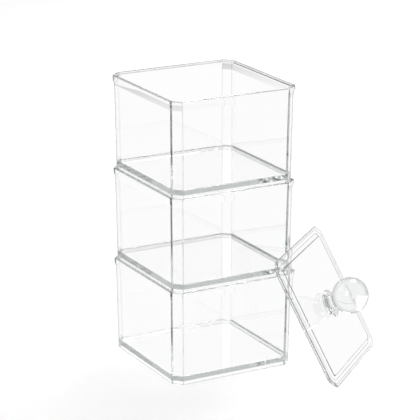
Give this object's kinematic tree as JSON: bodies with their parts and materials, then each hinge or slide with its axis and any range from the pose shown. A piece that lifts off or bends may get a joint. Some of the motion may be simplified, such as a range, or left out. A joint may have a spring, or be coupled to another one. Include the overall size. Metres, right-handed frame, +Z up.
{
  "type": "stackable cotton pad holder",
  "caption": "Stack of clear open-topped square boxes for cotton pads and swabs, each foot nesting in the rim below, with a ball-knobbed lid leaning against the stack.",
  "frame": {"origin": "centre of the lower box's foot, on the surface that it stands on", "axes": "+Z up, front face towards -Y; the loose lid leans at the +X -Y corner"},
  "size_m": [0.1574, 0.1443, 0.1912],
  "materials": {
    "clear_box": "clear polished styrene",
    "clear_lid": "clear polished styrene",
    "clear_knob": "clear polished acrylic"
  },
  "bodies": {
    "lower_box": {"lower_box": "clear_box"},
    "middle_box": {"middle_box": "clear_box"},
    "upper_box": {"upper_box": "clear_box"},
    "lid": {"lid_plate": "clear_lid", "lid_knob": "clear_knob"}
  },
  "joints": [
    {"name": "middle_box_lift", "type": "slide", "parent": "lower_box", "child": "middle_box", "axis": [0, 0, 1], "range_m": [0, 0.08]},
    {"name": "upper_box_lift", "type": "slide", "parent": "middle_box", "child": "upper_box", "axis": [0, 0, 1], "range_m": [0, 0.08]},
    {"name": "lid_pick_up", "type": "slide", "parent": "lower_box", "child": "lid", "axis": [0.4602, -0.5369, 0.7071], "range_m": [0, 0.09]}
  ]
}
